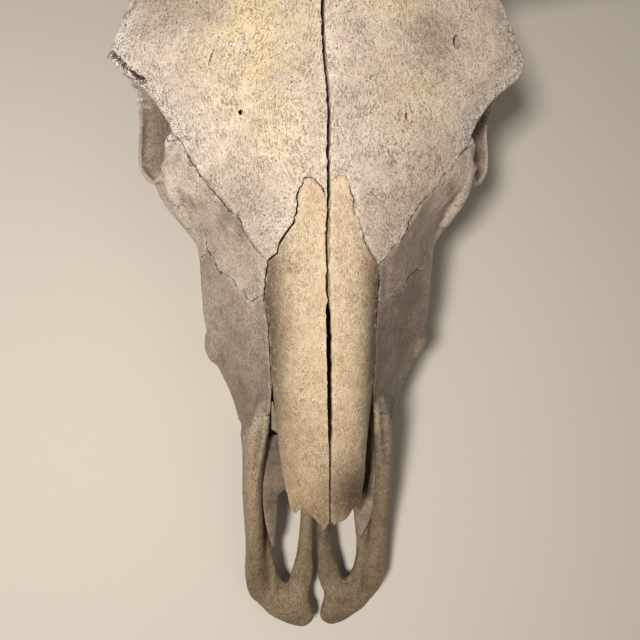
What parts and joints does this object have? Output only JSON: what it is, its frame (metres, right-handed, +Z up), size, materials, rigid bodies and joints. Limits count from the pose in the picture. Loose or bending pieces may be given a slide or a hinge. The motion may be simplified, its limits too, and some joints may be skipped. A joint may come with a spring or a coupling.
{
  "type": "cow skull",
  "caption": "Weathered skull of a horned adult cow without its lower jaw, lying on its cheek teeth and ear-side processes, parted along its sutures into named bones",
  "frame": {"origin": "the middle of the skull's plan, on the surface that it lies on", "axes": "+Z is up from that surface, +Y runs back from the muzzle to the poll, and +X runs to the animal's left"},
  "size_m": [0.4922, 0.5056, 0.2942],
  "materials": {
    "forehead_bone": "dry weathered bone, cream with yellow patches, finely pitted",
    "nasal_bone": "smoother warm cream bone with fine lengthwise streaks",
    "cheek_bone": "greyed taupe bone, porous",
    "muzzle_bone": "grey-brown porous bone with dark specks",
    "base_bone": "dull matt bone",
    "cheek_teeth": "stained enamel in ridges",
    "horn_sheath": "ringed keratin, grey at the base and near black at the tip"
  },
  "bodies": {
    "root": {"nasal_left": "nasal_bone", "nasal_right": "nasal_bone", "frontal_left": "forehead_bone", "frontal_right": "forehead_bone", "lacrimal_left": "cheek_bone", "lacrimal_right": "cheek_bone", "zygomatic_left": "cheek_bone", "zygomatic_right": "cheek_bone", "maxilla_left": "cheek_bone", "maxilla_right": "cheek_bone", "premaxilla_left": "muzzle_bone", "premaxilla_right": "muzzle_bone", "palatine_left": "base_bone", "palatine_right": "base_bone", "vomer": "base_bone", "sphenoid": "base_bone", "temporal_left": "base_bone", "temporal_right": "base_bone", "parietal": "base_bone", "occipital": "base_bone", "horn_left": "horn_sheath", "horn_right": "horn_sheath"}
  },
  "joints": []
}
